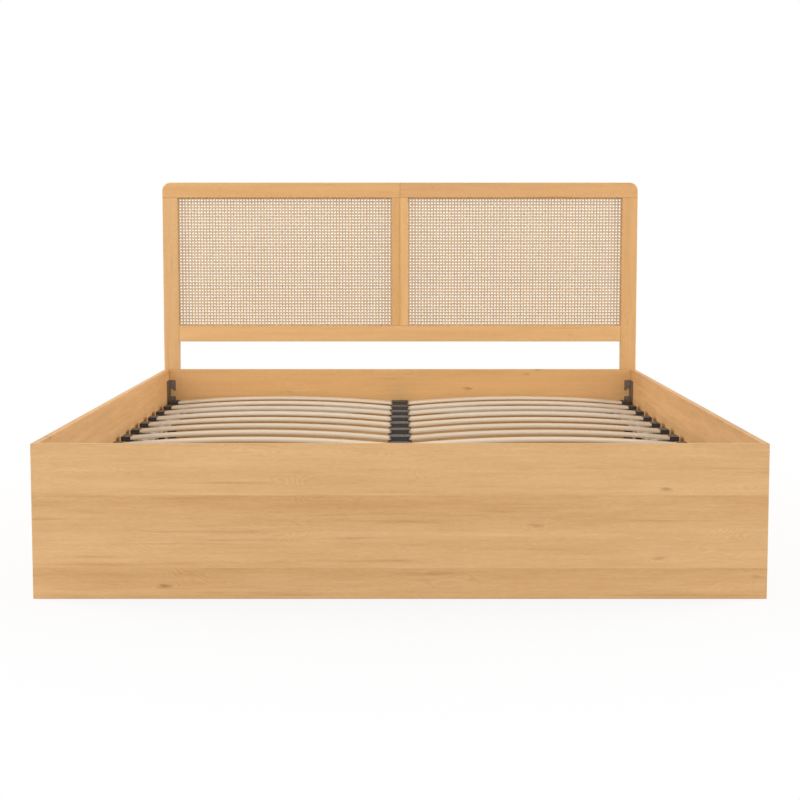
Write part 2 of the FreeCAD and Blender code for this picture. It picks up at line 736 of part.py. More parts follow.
def lift_plate():
    """The right lift plate, with holes for its screws, hinge pin and lower stud."""
    front = lower_y - PLATE_FRONT
    rear = hinge_y + PLATE_REAR
    low = lower_z - PLATE_BELOW
    top = hinge_z + PLATE_ABOVE
    corners = [
        (Vector(plate_face, front, low), PLATE_CORNER_RADIUS),
        (Vector(plate_face, rear, low), PLATE_CORNER_RADIUS),
        (Vector(plate_face, rear, top), PLATE_CORNER_RADIUS),
        (Vector(plate_face, hinge_y - PLATE_FRONT, top), PLATE_CORNER_RADIUS),
        (Vector(plate_face, front, lower_z + PLATE_FRONT), PLATE_CORNER_RADIUS),
    ]
    plate = Part.Face(rounded_wire(corners)).extrude(X_AXIS * PLATE_THICKNESS)
    holes = plate_holes()
    start = Vector(plate_face, hinge_y, hinge_z)
    holes.append(rod(HINGE_PIN_RADIUS + PIN_CLEARANCE, start, X_AXIS, PLATE_THICKNESS))
    start = Vector(plate_face, lower_y, lower_z)
    holes.append(rod(STUD_RADIUS + PIN_CLEARANCE, start, X_AXIS, PLATE_THICKNESS))
    return plate.cut(holes)


def lift_pins():
    """The right hinge pin and lower strut stud, each riveted in the plate behind a collar."""
    tip = side_tube_inner - SIDE_PLAY - HINGE_NUT - PIN_END
    collar = side_tube_outer + SIDE_PLAY
    pin = rod(HINGE_PIN_RADIUS, Vector(tip, hinge_y, hinge_z), X_AXIS, inner_half - tip)
    pin = pin.fuse(rod(HINGE_COLLAR_RADIUS, Vector(collar, hinge_y, hinge_z), X_AXIS, plate_face - collar))
    tip = eye_inner - SIDE_PLAY - STUD_NUT - PIN_END
    collar = eye_outer + SIDE_PLAY
    stud = rod(STUD_RADIUS, Vector(tip, lower_y, lower_z), X_AXIS, inner_half - tip)
    stud = stud.fuse(rod(STUD_COLLAR_RADIUS, Vector(collar, lower_y, lower_z), X_AXIS, plate_face - collar))
    return [pin.removeSplitter(), stud.removeSplitter()]


def lift_nuts():
    """Nuts on the right hinge pin and lower stud."""
    start = Vector(side_tube_inner - SIDE_PLAY - HINGE_NUT, hinge_y, hinge_z)
    nuts = [hex_nut(HINGE_NUT_RADIUS, HINGE_PIN_RADIUS, start, HINGE_NUT)]
    start = Vector(eye_inner - SIDE_PLAY - STUD_NUT, lower_y, lower_z)
    nuts.append(hex_nut(STUD_NUT_RADIUS, STUD_RADIUS, start, STUD_NUT))
    return nuts


def upper_bolt():
    """The right shoulder bolt that carries the strut's rod end on the side tube."""
    centre = Vector(side_tube_outer - TUBE_WALL, upper_y, upper_z)
    collar_end = eye_inner - SIDE_PLAY
    head_start = eye_outer + SIDE_PLAY
    shank = rod(STUD_RADIUS, centre, X_AXIS, head_start - centre.x)
    face = Vector(side_tube_outer, upper_y, upper_z)
    collar = rod(STUD_COLLAR_RADIUS, face, X_AXIS, collar_end - side_tube_outer)
    head = hexagon(STUD_NUT_RADIUS, Vector(head_start, upper_y, upper_z), STUD_HEAD)
    return shank.fuse([collar, head]).removeSplitter()


def eye():
    """A strut end eye at the origin with its neck along Z."""
    ring = rod(EYE_RADIUS, Vector(-EYE_WIDTH / 2, 0, 0), X_AXIS, EYE_WIDTH)
    neck = rod(NECK_RADIUS, Vector(0, 0, 0), Z_AXIS, EYE_RADIUS + NECK_LENGTH)
    hole = rod(STUD_RADIUS + PIN_CLEARANCE, Vector(-EYE_WIDTH, 0, 0), X_AXIS, EYE_WIDTH * 2)
    return ring.fuse(neck).cut(hole)


def laid_on_strut(piece, y, z, toward):
    """Moves a piece built along Z from the origin onto the strut's line."""
    placed = piece.copy()
    run_y = upper_y - lower_y
    run_z = upper_z - lower_z
    placed.rotate(Vector(0, 0, 0), X_AXIS, math.degrees(math.atan2(-run_y * toward, run_z * toward)))
    placed.translate(Vector(strut_x, y, z))
    return placed


def strut_cylinder():
    """The right gas cylinder with its lower eye, and the gland in its mouth."""
    start = Vector(0, 0, cylinder_start)
    shell = rod(CYLINDER_RADIUS, start, Z_AXIS, cylinder_end - cylinder_start)
    bore_radius = CYLINDER_RADIUS - CYLINDER_WALL
    bore = rod(bore_radius, Vector(0, 0, bore_start), Z_AXIS, cylinder_end - bore_start)
    shell = shell.fuse(eye()).removeSplitter().cut(bore)
    gland_start = Vector(0, 0, cylinder_end - GLAND_LENGTH)
    gland = rod(bore_radius, gland_start, Z_AXIS, GLAND_LENGTH)
    gland = gland.cut(rod(ROD_RADIUS + ROD_CLEARANCE, gland_start, Z_AXIS, GLAND_LENGTH))
    return [laid_on_strut(piece, lower_y, lower_z, 1) for piece in (shell, gland)]


def strut_rod():
    """The right piston rod with its upper eye, and the piston that meets the gland at full lift."""
    reach = strut_closed - piston_top + PISTON_LENGTH
    shaft = rod(ROD_RADIUS, Vector(0, 0, EYE_RADIUS), Z_AXIS, reach - EYE_RADIUS)
    piston_radius = CYLINDER_RADIUS - CYLINDER_WALL - PISTON_CLEARANCE
    piston = rod(piston_radius, Vector(0, 0, reach - PISTON_LENGTH), Z_AXIS, PISTON_LENGTH)
    return laid_on_strut(eye().fuse([shaft, piston]).removeSplitter(), upper_y, upper_z, -1)


def headboard():
    """Every headboard node by name."""
    places = dowel_places()
    holes = [mortise(place) for place in places]
    post_holes = holes + both_sides(hook_bolt_hole())
    nodes = {"headboard_dowels": group([dowel(place) for place in places])}
    nodes["right_post"] = post(post_holes)
    nodes["left_post"] = mirrored(nodes["right_post"])
    nodes["top_rail_right"] = top_rail(holes)
    nodes["top_rail_left"] = mirrored(nodes["top_rail_right"])
    nodes["centre_stile_right"] = centre_stile(holes)
    nodes["centre_stile_left"] = mirrored(nodes["centre_stile_right"])
    nodes["bottom_rail"] = bottom_rail(holes)
    nodes["head_panel"] = head_panel(both_sides(hook_bolt_hole()))
    nodes["cane_panel_right"] = cane_panel()
    nodes["cane_panel_left"] = mirrored(nodes["cane_panel_right"])
    nodes["cane_beads_right"] = group(cane_beads())
    nodes["cane_beads_left"] = mirrored(nodes["cane_beads_right"])
    nodes["hook_bolts"] = group(both_sides(hook_bolt()))
    return nodes


def storage_box():
    """Every node of the box under the platform by name."""
    nodes = {"side_panel_right": side_panel()}
    nodes["side_panel_left"] = mirrored(nodes["side_panel_right"])
    nodes["foot_panel"] = foot_panel()
    nodes["hook_bracket_right"] = hook_bracket()
    nodes["hook_bracket_left"] = mirrored(nodes["hook_bracket_right"])
    nodes["foot_brackets"] = group(both_sides(foot_bracket()))
    for index, name in enumerate(("foot", "middle", "head")):
        nodes["floor_board_" + name] = floor_board(index)
    nodes["floor_bearers"] = group(floor_bearers())
    nodes["foot_rest"] = foot_rest()
    nodes["side_rests"] = group(side_rests())
    nodes["rest_pads"] = group(rest_pads())
    nodes["lift_plate_right"] = lift_plate()
    nodes["lift_plate_left"] = mirrored(nodes["lift_plate_right"])
    nuts = []
    for nut in lift_nuts():
        nuts += both_sides(nut)
    nodes["lift_nuts"] = group(nuts)
    pins = []
    for pin in lift_pins():
        pins += both_sides(pin)
    nodes["lift_pins"] = group(pins)
    return nodes


def platform():
    """Every node of the lifting platform and its struts by name."""
    nodes = {"side_tube_right": side_tube()}
    nodes["side_tube_left"] = mirrored(nodes["side_tube_right"])
    nodes["centre_tube"] = centre_tube()
    nodes["foot_cross_tube"] = foot_cross_tube()
    nodes["head_cross_tube"] = head_cross_tube()
    nodes["middle_tubes"] = group(middle_tubes())
    nodes["tube_plugs"] = group(tube_plugs())
    caps = copies(slat_cap(), slat_rows)
    nodes["slat_caps_right"] = group(caps)
    nodes["slat_caps_left"] = mirrored(nodes["slat_caps_right"])
    nodes["centre_holders"] = group(copies(centre_holder(), slat_rows))
    right_slat = slat()
    for index, y in enumerate(slat_rows):
        nodes["slat_row_%02d" % (index + 1)] = group(slat_row(right_slat, y))
    nodes["upper_bolts"] = group(both_sides(upper_bolt()))
    nodes["strut_cylinder_right"] = group(strut_cylinder())
    nodes["strut_cylinder_left"] = mirrored(nodes["strut_cylinder_right"])
    nodes["strut_rod_right"] = strut_rod()
    nodes["strut_rod_left"] = mirrored(nodes["strut_rod_right"])
    return nodes


os.makedirs("parts", exist_ok=True)
for nodes in (headboard(), storage_box(), platform()):
    for name, shape in nodes.items():
        shape.exportStep("parts/%s.step" % name)
print("overall", outer_half * 2, total_length, HEADBOARD_HEIGHT)
print("hinge", hinge_y, hinge_z, "lower", lower_y, lower_z, "upper", upper_y, upper_z, "x", strut_x)
print("strut closed", strut_closed, "open", strut_open, "piston above the bore's floor",
      piston_top - PISTON_LENGTH - bore_start)
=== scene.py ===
"""Looks of a king-size ottoman bed: oak-effect box, cane headboard, sprung beech slats, steel lift gear."""
import logging
import math
from dataclasses import dataclass
from enum import Enum
from typing import Any, Optional, Sequence, Union

import bpy
import numpy as np
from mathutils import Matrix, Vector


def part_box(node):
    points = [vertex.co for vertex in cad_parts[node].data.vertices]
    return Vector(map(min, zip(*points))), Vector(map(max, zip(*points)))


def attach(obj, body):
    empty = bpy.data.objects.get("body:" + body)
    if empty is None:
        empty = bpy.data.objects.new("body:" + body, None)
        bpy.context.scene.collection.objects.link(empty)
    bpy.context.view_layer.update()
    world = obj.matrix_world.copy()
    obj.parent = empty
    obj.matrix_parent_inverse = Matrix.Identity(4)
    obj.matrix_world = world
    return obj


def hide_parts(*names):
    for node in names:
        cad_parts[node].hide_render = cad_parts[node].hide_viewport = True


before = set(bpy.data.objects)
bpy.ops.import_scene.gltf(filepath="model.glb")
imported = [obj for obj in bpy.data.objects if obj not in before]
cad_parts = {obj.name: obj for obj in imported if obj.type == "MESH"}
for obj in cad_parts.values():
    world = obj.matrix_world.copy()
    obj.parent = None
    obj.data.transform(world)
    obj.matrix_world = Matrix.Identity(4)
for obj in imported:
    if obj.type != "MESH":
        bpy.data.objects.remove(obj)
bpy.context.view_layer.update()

LOG = logging.getLogger("ottoman_bed")
# a millimetre in metres, and a metre in millimetres
MM = 0.001
METRE = 1000.0
FULL_TURN = 2 * math.pi
WHITE = "#FFFFFF"
# inputs and output of a Mix node that mixes two colours
SHARE, COLOUR_A, COLOUR_B, MIXED = 0, 6, 7, 2

Tree = bpy.types.NodeTree
Socket = bpy.types.NodeSocket
# two values that come in, and what each of them turns into, in the order of a Map Range node's inputs
Remap = tuple[float, float, float, float]


class Grain(Enum):
    """The direction that the wood grain runs in, as the turn that lays it on the first axis."""

    ACROSS_BED = (0.0, 0.0, 0.0)
    ALONG_BED = (0.0, 0.0, -math.pi / 2)
    UPRIGHT = (0.0, math.pi / 2, 0.0)


class Side(Enum):
    """Left or right half of the bed, as the sign of its X."""

    LEFT = -1
    RIGHT = 1

    def node(self, stem: str) -> str:
        """The name of this side's node."""
        return f"{stem}_{self.name.lower()}"


def linear(colour: str) -> tuple[float, float, float, float]:
    """Turns an sRGB hex colour into linear light by the sRGB standard's curve.

    Args:
        colour: a hex colour such as #D5A976.

    Returns:
        Red, green, blue and an alpha of 1.
    """
    channels = np.array([int(colour[i:i + 2], 16) for i in (1, 3, 5)]) / 255
    curve = ((channels + 0.055) / 1.055) ** 2.4
    return (*np.where(channels <= 0.04045, channels / 12.92, curve).tolist(), 1.0)


def add_node(tree: Tree, kind: str, inputs: Union[dict[Any, Any], Sequence[Any]] = (), output: Any = 0,
             **settings: Any) -> Optional[Socket]:
    """Adds one shader node with its settings and links.

    Args:
        tree: the node tree that takes the node.
        kind: the node's type, without its ShaderNode prefix.
        inputs: values, or output sockets that feed them, by input name or number or in the inputs' order.
        output: name or number of the output to hand back, or None.
        settings: the node's own properties.

    Returns:
        The new node's output socket, or None where none is asked for.
    """
    node = tree.nodes.new("ShaderNode" + kind)
    for name, value in settings.items():
        setattr(node, name, value)
    for name, value in inputs.items() if isinstance(inputs, dict) else enumerate(inputs):
        if isinstance(value, Socket):
            tree.links.new(value, node.inputs[name])
        else:
            node.inputs[name].default_value = value
    return None if output is None else node.outputs[output]


def seen_directly(tree: Tree) -> Socket:
    """Adds a value that is 1 for rays from the camera, from reflections and through glass, and 0 for others.

    Args:
        tree: the node tree that takes it.

    Returns:
        The value's socket.
    """
    seen = add_node(tree, "LightPath", output="Is Camera Ray")
    for ray in ("Is Glossy Ray", "Is Transmission Ray"):
        other = add_node(tree, "LightPath", output=ray)
        seen = add_node(tree, "Math", (seen, other), operation="MAXIMUM")
    return seen


def tube_faces(count: int, rows: int, columns: int, flipped: bool = False, first: int = 0) -> list[list[int]]:
    """Faces of equal closed tubes whose points follow each other, row by row along each tube's path.

    Each point joins its neighbours in its own row and the next in a quad, and one flat face closes each end.

    Args:
        count: number of tubes.
        rows: points along a path.
        columns: points round a section.
        flipped: False for sections that turn anticlockwise when seen from the path's end, else True.
        first: number of the first tube's first point.

    Returns:
        Point numbers of each face, facing outwards.
    """
    row, column = np.meshgrid(np.arange(rows - 1), np.arange(columns), indexing="ij")
    start = row * columns + column
    after = row * columns + (column + 1) % columns
    quads = np.stack([start, after, after + columns, start + columns], axis=-1).reshape(-1, 4)
    starts = first + np.arange(count)[:, None] * rows * columns
    quads = (quads[None] + starts[:, :, None]).reshape(-1, 4)
    rim = np.arange(columns)
    ends = np.concatenate([starts + rim[::-1], starts + rim + (rows - 1) * columns])
    turn = -1 if flipped else 1
    return quads[:, ::turn].tolist() + ends[:, ::turn].tolist()


def new_piece(name: str, points: np.ndarray, faces: Sequence[Sequence[int]], body: str,
              finish: "Finish", attributes: Optional[dict[str, np.ndarray]] = None) -> bpy.types.Object:
    """Makes a smooth mesh piece at the origin that rides on a body.

    Args:
        name: the piece's name.
        points: the points in metres, one row each.
        faces: point numbers of each face.
        body: the body that carries the piece.
        finish: its finish.
        attributes: a value for each point, by name, for the finish to read.

    Returns:
        The new object.
    """
    mesh = bpy.data.meshes.new(name)
    mesh.from_pydata(points.reshape(-1, 3), [], faces)
    mesh.polygons.foreach_set("use_smooth", np.ones(len(mesh.polygons), bool))
    for label, values in (attributes or {}).items():
        layer = mesh.attributes.new(label, "FLOAT", "POINT")
        layer.data.foreach_set("value", values.astype(np.float32).ravel())
    mesh.validate()
    mesh.materials.append(finish.material())
    piece = bpy.data.objects.new(name, mesh)
    bpy.context.scene.collection.objects.link(piece)
    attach(piece, body)
    LOG.info("%s: %d faces on %s", name, len(mesh.polygons), body)
    return piece


@dataclass(frozen=True)
class Finish:
    """A surface finish that makes one material and dresses nodes with it."""

    name: str

    def material(self) -> bpy.types.Material:
        """Finds the finish's material, or makes it the first time.

        Returns:
            The material.
        """
        found = bpy.data.materials.get(self.name)
        if found is not None:
            return found
        made = bpy.data.materials.new(self.name)
        made.use_nodes = True
        made.node_tree.nodes.clear()
        surface = self.paint(made.node_tree)
        add_node(made.node_tree, "OutputMaterial", {"Surface": surface}, output=None)
        return made

    def paint(self, tree: Tree) -> Socket:
        """Adds the finish's own nodes to a fresh material.

        Args:
            tree: the material's node tree.

        Returns:
            The socket that feeds the surface.
        """
        raise NotImplementedError

    def dress(self, *nodes: str) -> None:
        """Gives the finish to CAD nodes.

        Args:
            nodes: their names.
        """
        for name in nodes:
            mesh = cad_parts[name].data
            mesh.materials.clear()
            mesh.materials.append(self.material())
            LOG.info("%s: %s", name, self.name)


@dataclass(frozen=True)
class Noise:
    """One noise of a wood: its sizes along and across the grain, its detail and its weight in the tone."""

    along_mm: float
    across_mm: float
    detail: float
    weight: float = 0.0

    def scale(self) -> tuple[float, float, float]:
        """How often it repeats in a metre along the grain, and across it both ways."""
        return METRE / self.along_mm, METRE / self.across_mm, METRE / self.across_mm


# the fibres are drawn about five times their real width so that they show
OAK_NOISES = {
    "band": Noise(800, 30, 2, weight=0.55),
    "cloud": Noise(150, 15, 2, weight=0.40),
    "streak": Noise(330, 8, 3, weight=0.30),
    "vein": Noise(70, 4.5, 2, weight=0.30),
    "fibre": Noise(14, 2.2, 1, weight=0.35),
    "bend": Noise(190, 55, 2),
    "patch": Noise(240, 50, 1),
}


@dataclass(frozen=True)
class Oak(Finish):
    """Oak-effect foil: planks that start darker at one edge, long streaks, arched figure and a few knots."""

    grain: Grain
    light: str
    dark: str
    seed: float
    plank_mm: float = 155.0
    plank_edge_mm: float = 66.0
    knots: float = 1.0
    streak_colour: str = "#A06C38"
    heart_colour: str = "#7E5129"
    # planks: a count that stays above zero, the pattern's shift in metres, and a tone that slopes and fades
    first_plank: int = 20
    plank_shift: tuple[float, float, float] = (7.0, 3.0, 1.0)
    plank_tone: float = 0.3
    plank_slope: tuple[float, float] = (-1.6, -0.9)
    plank_fade: Remap = (0.3, 0.7, 0.5, 1.3)
    # knots: size of a cell that may hold one, ragged edge, share that is kept, pull on the rings, dark heart
    knot_cell_mm: tuple[float, float] = (260.0, 75.0)
    knot_rag: tuple[float, float, float] = (0.3, 0.12, 0.0)
    knot_kept: Remap = (0.62, 0.95, 0.0, 1.0)
    knot_pull: Remap = (0.0, 0.35, 0.25, 0.0)
    knot_figure: float = 3.0
    heart_reach: tuple[float, float] = (0.01, 0.07)
    heart_share: float = 0.55
    # rings: their number, how noise bends them, how they rise along the grain, and where they show
    rings: float = 36.0
    ring_bend: float = 0.6
    ring_rise: float = 0.3
    ring_patches: Remap = (0.55, 0.68, 0.25, 1.0)
    # what the tone starts from, the weights of a plank's chance and of the rings, and the darkest streaks
    tone_start: float = -0.5
    chance_weight: float = 0.10
    ring_weight: float = 0.10
    streak_lines: Remap = (0.37, 0.26, 0.0, 0.26)
    # roughness that the fibres add and that is always there, relief and rounded edges
    roughness: tuple[float, float] = (0.16, 0.46)
    relief: float = 0.12
    relief_mm: float = 0.2
    edge_mm: float = 1.0
    ior: float = 1.38

    def planks(self, tree: Tree) -> tuple[Socket, Socket, Socket]:
        """Divides a board into planks, each with its own number and its own stretch of the pattern.

        Args:
            tree: the material's node tree.

        Returns:
            The place across the plank from -0.5 to 0.5, the plank's chance value from 0 to 1, and the place
            in grain space, where the first axis runs along the grain in metres.
        """
        place = add_node(tree, "TexCoord", output="Object")
        turned = add_node(tree, "Mapping", {"Vector": place, "Rotation": self.grain.value})
        across = add_node(tree, "SeparateXYZ", (turned,), output="Z")
        start = self.first_plank - self.plank_edge_mm / self.plank_mm
        count = add_node(tree, "Math", (across, METRE / self.plank_mm, start), operation="MULTIPLY_ADD")
        number = add_node(tree, "Math", (count,), operation="FLOOR")
        inside = add_node(tree, "Math", (count,), operation="FRACT")
        inside = add_node(tree, "Math", (inside, 0.5), operation="SUBTRACT")
        chance = add_node(tree, "Math", (number, self.seed), operation="ADD")
        chance = add_node(tree, "TexWhiteNoise", {"W": chance}, output="Value", noise_dimensions="1D")
        shift = add_node(tree, "CombineXYZ", (chance, chance, self.seed))
        grain = add_node(tree, "VectorMath", (shift, self.plank_shift, turned), operation="MULTIPLY_ADD")
        return inside, chance, grain

    def knot_places(self, tree: Tree, grain: Socket, pattern: dict[str, Socket]) -> tuple[Socket, Socket]:
        """Gives each cell a place for a knot, and takes about a third of the places.

        A knot goes through the board, has its own strength, and has an outline that noise makes ragged.

        Args:
            tree: the material's node tree.
            grain: the place in grain space.
            pattern: the noises by name.

        Returns:
            The distance from the nearest place in cells, and the strength of the knot there from 0 to 1.
        """
        along, level = (add_node(tree, "SeparateXYZ", (grain,), output=axis) for axis in "XZ")
        spot = add_node(tree, "CombineXYZ", (along, level))
        cells = (METRE / self.knot_cell_mm[0], METRE / self.knot_cell_mm[1], 0.0)
        spot = add_node(tree, "VectorMath", (spot, cells), operation="MULTIPLY")
        rag = add_node(tree, "CombineXYZ", (pattern["cloud"], pattern["vein"]))
        spot = add_node(tree, "VectorMath", (rag, self.knot_rag, spot), operation="MULTIPLY_ADD")
        knot, kept = (add_node(tree, "TexVoronoi", {"Vector": spot, "Scale": 1.0}, output=value,
                               voronoi_dimensions="2D") for value in ("Distance", "Color"))
        kept = add_node(tree, "SeparateColor", (kept,))
        kept = add_node(tree, "MapRange", (kept, *self.knot_kept))
        return knot, kept

    def figure(self, tree: Tree, inside: Socket, grain: Socket, pattern: dict[str, Socket],
               pull: Socket) -> Socket:
        """Draws the sine of a ring count, strongest in patches and round the knots.

        The count rises with the square of the place in the plank and slowly along it, bent by noise and by
        each knot, as where a saw cuts through a tree's rings.

        Args:
            tree: the material's node tree.
            inside: the place across the plank.
            grain: the place in grain space.
            pattern: the noises by name.
            pull: how far the knots bend the rings.

        Returns:
            The figure's value, about 0.
        """
        along = add_node(tree, "SeparateXYZ", (grain,), output="X")
        rise = add_node(tree, "Math", (inside, inside), operation="MULTIPLY")
        rise = add_node(tree, "Math", (pattern["bend"], self.ring_bend, rise), operation="MULTIPLY_ADD")
        rise = add_node(tree, "Math", (along, self.ring_rise, rise), operation="MULTIPLY_ADD")
        rise = add_node(tree, "Math", (pull, rise), operation="ADD")
        ring = add_node(tree, "Math", (rise, FULL_TURN * self.rings), operation="MULTIPLY")
        ring = add_node(tree, "Math", (ring,), operation="SINE")
        shown = add_node(tree, "MapRange", (pattern["patch"], *self.ring_patches))
        shown = add_node(tree, "Math", (pull, self.knot_figure, shown), operation="MULTIPLY_ADD")
        return add_node(tree, "Math", (ring, shown), operation="MULTIPLY")

    def paint(self, tree: Tree) -> Socket:
        """Adds up planks, noises and figure to a tone from 0, dark, to 1, light, then lines and knots.

        Args:
            tree: the material's node tree.

        Returns:
            The shader's surface.
        """
        inside, chance, grain = self.planks(tree)
        pattern = {}
        for label, noise in OAK_NOISES.items():
            spot = add_node(tree, "VectorMath", (grain, noise.scale()), operation="MULTIPLY")
            pattern[label] = add_node(tree, "TexNoise", {"Vector": spot, "Scale": 1.0,
                                                         "Detail": noise.detail})
        knot, kept = self.knot_places(tree, grain, pattern)
        pull = add_node(tree, "MapRange", (knot, *self.knot_pull), interpolation_type="SMOOTHSTEP")
        pull = add_node(tree, "Math", (pull, kept), operation="MULTIPLY")
        ring = self.figure(tree, inside, grain, pattern, pull)
        # each plank is darkest just under its upper edge
        slope = add_node(tree, "Math", (inside, *self.plank_slope), operation="MULTIPLY_ADD")
        slope = add_node(tree, "Math", (slope, inside), operation="MULTIPLY")
        fade = add_node(tree, "MapRange", (pattern["bend"], *self.plank_fade))
        slope = add_node(tree, "Math", (slope, fade), operation="MULTIPLY")
        tone = add_node(tree, "Math", (slope, self.plank_tone, self.tone_start), operation="MULTIPLY_ADD")
        shares = [(pattern[label], noise.weight) for label, noise in OAK_NOISES.items() if noise.weight]
        for value, weight in ((chance, self.chance_weight), *shares, (ring, self.ring_weight)):
            tone = add_node(tree, "Math", (value, weight, tone), operation="MULTIPLY_ADD")
        wood = add_node(tree, "Mix", {SHARE: tone, COLOUR_A: linear(self.dark), COLOUR_B: linear(self.light)},
                        output=MIXED, data_type="RGBA")
        line = add_node(tree, "MapRange", (pattern["streak"], *self.streak_lines))
        wood = add_node(tree, "Mix", {SHARE: line, COLOUR_A: wood, COLOUR_B: linear(self.streak_colour)},
                        output=MIXED, data_type="RGBA")
        heart = add_node(tree, "MapRange", (knot, *self.heart_reach, self.heart_share * self.knots, 0.0))
        heart = add_node(tree, "Math", (heart, kept), operation="MULTIPLY")
        wood = add_node(tree, "Mix", {SHARE: heart, COLOUR_A: wood, COLOUR_B: linear(self.heart_colour)},
                        output=MIXED, data_type="RGBA")
        rough = add_node(tree, "Math", (pattern["fibre"], *self.roughness), operation="MULTIPLY_ADD")
        relief = add_node(tree, "Math", (pattern["streak"], pattern["fibre"]), operation="ADD")
        edge = add_node(tree, "Bevel", {"Radius": self.edge_mm * MM}, samples=4)
        bump = add_node(tree, "Bump", {"Height": relief, "Strength": self.relief,
                                       "Distance": self.relief_mm * MM, "Normal": edge})
        return add_node(tree, "BsdfPrincipled", {"Base Color": wood, "Roughness": rough, "Normal": bump,
                                                 "IOR": self.ior})


@dataclass(frozen=True)
class Cane(Finish):
    """Split rattan: each strand has its own tone, pale split edges, mottling and a slightly glossy skin.

    The fibres are drawn about ten times their real width so that they show.
    """

    light: str = "#D6B387"
    dark: str = "#A47F57"
    edge: str = "#EFDCBA"
    # the mottling's size and its part in the tone, and how far from its middle a strand turns pale
    mottle_mm: float = 14.0
    mottle_share: float = 0.7
    edge_share: Remap = (0.2, 0.87, 0.0, 0.85)
    fibre_mm: float = 1.6
    # roughness that the fibres add and that is always there, and their relief
    roughness: tuple[float, float] = (0.2, 0.34)
    relief: float = 0.2
    relief_mm: float = 0.2
    ior: float = 1.5

    def paint(self, tree: Tree) -> Socket:
        """Mixes two cane tones by the strand's own value and a mottled noise, and bleaches its edges.

        Args:
            tree: the material's node tree.

        Returns:
            The shader's surface.
        """
        place = add_node(tree, "TexCoord", output="Object")
        tone = add_node(tree, "Attribute", output="Fac", attribute_name="strand_tone")
        split = add_node(tree, "Attribute", output="Fac", attribute_name="strand_edge")
        mottle = add_node(tree, "TexNoise", {"Vector": place, "Scale": METRE / self.mottle_mm, "Detail": 3.0})
        tone = add_node(tree, "Math", (mottle, self.mottle_share, tone), operation="MULTIPLY_ADD")
        skin = add_node(tree, "Mix", {SHARE: tone, COLOUR_A: linear(self.dark), COLOUR_B: linear(self.light)},
                        output=MIXED, data_type="RGBA")
        split = add_node(tree, "MapRange", (split, *self.edge_share))
        skin = add_node(tree, "Mix", {SHARE: split, COLOUR_A: skin, COLOUR_B: linear(self.edge)},
                        output=MIXED, data_type="RGBA")
        fibre = add_node(tree, "TexNoise", {"Vector": place, "Scale": METRE / self.fibre_mm, "Detail": 2.0})
        rough = add_node(tree, "Math", (fibre, *self.roughness), operation="MULTIPLY_ADD")
        bump = add_node(tree, "Bump", {"Height": fibre, "Strength": self.relief,
                                       "Distance": self.relief_mm * MM})
        return add_node(tree, "BsdfPrincipled", {"Base Color": skin, "Roughness": rough, "Normal": bump,
                                                 "IOR": self.ior})


@dataclass(frozen=True)
class Beech(Finish):
    """Bent beech veneers under clear resin: even cream faces, faint flecks, and veneer lines on the edges.

    The flecks are drawn about three times their real width so that they show.
    """

    light: str = "#E2CFB6"
    dark: str = "#D8C3A8"
    fleck_colour: str = "#B4946E"
    line_colour: str = "#A88B68"
    veneers: float = 7.0
    grain: Noise = Noise(320, 14, 3)
    flecks: Noise = Noise(9, 1.6, 1)
    # where the noise becomes a fleck, and where the wave becomes a veneer line, with how strongly each shows
    fleck_share: Remap = (0.62, 0.72, 0.0, 0.12)
    line_share: Remap = (0.6, 0.97, 0.0, 0.14)
    # roughness that the grain adds and that is always there, and the relief of the flecks
    roughness: tuple[float, float] = (0.16, 0.50)
    relief: float = 0.1
    relief_mm: float = 0.1
    ior: float = 1.34

    def paint(self, tree: Tree) -> Socket:
        """Runs the grain across the bed, shifts each slat by its own tone, and draws the veneer lines.

        A line lies wherever the cosine of the slat's height value, times its veneers, comes near 1.

        Args:
            tree: the material's node tree.

        Returns:
            The shader's surface.
        """
        place = add_node(tree, "TexCoord", output="Object")
        pattern = []
        for noise in (self.grain, self.flecks):
            spot = add_node(tree, "VectorMath", (place, noise.scale()), operation="MULTIPLY")
            pattern.append(add_node(tree, "TexNoise", {"Vector": spot, "Scale": 1.0, "Detail": noise.detail}))
        grain, fleck = pattern
        own = add_node(tree, "Attribute", output="Fac", attribute_name="slat_tone")
        tone = add_node(tree, "Math", (grain, own), operation="ADD")
        wood = add_node(tree, "Mix", {SHARE: tone, COLOUR_A: linear(self.dark), COLOUR_B: linear(self.light)},
                        output=MIXED, data_type="RGBA")
        fleck = add_node(tree, "MapRange", (fleck, *self.fleck_share))
        wood = add_node(tree, "Mix", {SHARE: fleck, COLOUR_A: wood, COLOUR_B: linear(self.fleck_colour)},
                        output=MIXED, data_type="RGBA")
        height = add_node(tree, "Attribute", output="Fac", attribute_name="veneer")
        wave = add_node(tree, "Math", (height, math.pi * self.veneers), operation="MULTIPLY")
        wave = add_node(tree, "Math", (wave,), operation="COSINE")
        line = add_node(tree, "MapRange", (wave, *self.line_share))
        wood = add_node(tree, "Mix", {SHARE: line, COLOUR_A: wood, COLOUR_B: linear(self.line_colour)},
                        output=MIXED, data_type="RGBA")
        rough = add_node(tree, "Math", (grain, *self.roughness), operation="MULTIPLY_ADD")
        bump = add_node(tree, "Bump", {"Height": fleck, "Strength": self.relief,
                                       "Distance": self.relief_mm * MM})
        return add_node(tree, "BsdfPrincipled", {"Base Color": wood, "Roughness": rough, "Normal": bump,
                                                 "IOR": self.ior})


